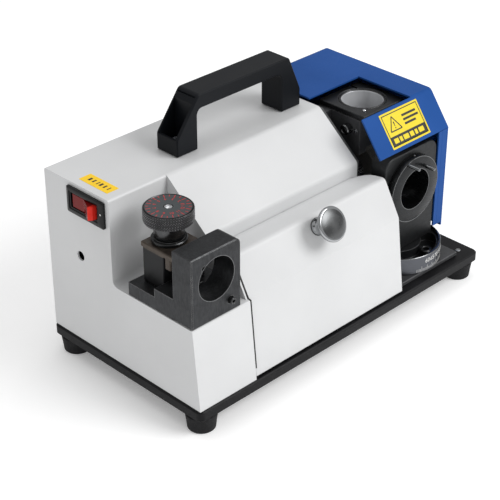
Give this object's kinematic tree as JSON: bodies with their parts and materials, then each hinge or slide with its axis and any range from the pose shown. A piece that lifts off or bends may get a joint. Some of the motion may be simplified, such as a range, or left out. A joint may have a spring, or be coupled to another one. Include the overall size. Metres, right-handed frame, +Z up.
{
  "type": "drill bit sharpener",
  "caption": "Bench drill bit sharpener with a white sheet housing, carrying handle, setting station with a dial, drop-down storage door and a two-port grinding head under a blue cover",
  "frame": {"origin": "on the floor, under the middle of the machine's outline", "axes": "+X to the machine's right along its length, +Y to the rear, +Z up"},
  "size_m": [0.327, 0.1774, 0.204],
  "materials": {
    "housing_white": "white powder coat, fine texture",
    "cover_blue": "blue powder coat",
    "cast_black": "black coat on cast aluminium",
    "oxide_steel": "blackened, fine machining marks",
    "bright_steel": "turned or ground bright",
    "chrome": "polished",
    "rubber": "black, matte",
    "handle_plastic": "black, fine grain",
    "rocker_red": "red, glossy",
    "motor_grey": "grey enamel",
    "wheel_abrasive": "metal core with a bonded abrasive rim",
    "galvanised": "zinc plated"
  },
  "bodies": {
    "machine": {"base_plate": "cast_black", "bearing_left": "bright_steel", "bearing_right": "bright_steel", "blue_cover": "cover_blue", "collet_rack": "galvanised", "cord_gland": "rubber", "cover_screw_front": "galvanised", "cover_screw_rear": "galvanised", "dial_collar": "oxide_steel", "door_magnet": "handle_plastic", "door_pin_left": "bright_steel", "door_pin_right": "bright_steel", "foot_front_left": "rubber", "foot_front_right": "rubber", "foot_rear_left": "rubber", "foot_rear_right": "rubber", "foot_screw_front_left": "galvanised", "foot_screw_front_right": "galvanised", "foot_screw_rear_left": "galvanised", "foot_screw_rear_right": "galvanised", "handle": "handle_plastic", "handle_screw_left": "bright_steel", "handle_screw_right": "bright_steel", "head_cap_screw": "oxide_steel", "head_casting": "cast_black", "head_grub_screw": "bright_steel", "housing": "housing_white", "housing_screw_left": "galvanised", "housing_screw_right": "galvanised", "lock_screw": "oxide_steel", "motor_body": "motor_grey", "motor_cradle": "cast_black", "motor_end_left": "galvanised", "motor_end_right": "galvanised", "port_pin": "bright_steel", "run_capacitor": "motor_grey", "setting_block": "oxide_steel", "setting_column": "oxide_steel", "setting_screw": "bright_steel", "switch_body": "handle_plastic", "swivel_bed": "cast_black", "swivel_pin": "bright_steel", "top_bushing": "bright_steel", "top_port_plate": "oxide_steel"},
    "door": {"door": "housing_white", "door_knob": "chrome"},
    "rocker": {"rocker": "rocker_red"},
    "dial": {"dial_knob": "oxide_steel", "lead_screw": "bright_steel", "dial_screw": "bright_steel"},
    "stop": {"stop_slide": "bright_steel"},
    "swivel": {"angle_disc": "oxide_steel", "port_bracket": "oxide_steel", "front_port_ring": "oxide_steel", "stop_pin_left": "bright_steel", "stop_pin_right": "bright_steel"},
    "spindle": {"motor_shaft": "bright_steel", "grinding_wheel": "wheel_abrasive", "wheel_flange": "bright_steel", "wheel_nut": "bright_steel"}
  },
  "joints": [
    {"name": "door_hinge", "type": "hinge", "parent": "machine", "child": "door", "pos_m": [-0.09792, -0.08185, 0.03], "axis": [1, 0, 0], "range_deg": [0, 100]},
    {"name": "rocker_hinge", "type": "hinge", "parent": "machine", "child": "rocker", "pos_m": [-0.15612, 0.03005, 0.14565], "axis": [0, 0, 1], "range_deg": [0, 28]},
    {"name": "dial_turn", "type": "hinge", "parent": "machine", "child": "dial", "pos_m": [-0.13012, -0.03025, 0.1326], "axis": [0, 0, 1], "range_deg": [0, 300]},
    {"name": "stop_lift", "type": "slide", "parent": "machine", "child": "stop", "axis": [0, 0, 1], "range_m": [0, 0.00333]},
    {"name": "port_swivel", "type": "hinge", "parent": "machine", "child": "swivel", "pos_m": [0.10589, -0.04525, 0.0273], "axis": [0, 0, 1], "range_deg": [-10, 10]},
    {"name": "wheel_spin", "type": "hinge", "parent": "machine", "child": "spindle", "pos_m": [0.10189, -0.00625, 0.0965], "axis": [1, 0, 0], "continuous": true}
  ],
  "couplings": [
    {"joint": "dial_turn", "follows": "stop_lift", "rad_per_m": 1570.8}
  ]
}
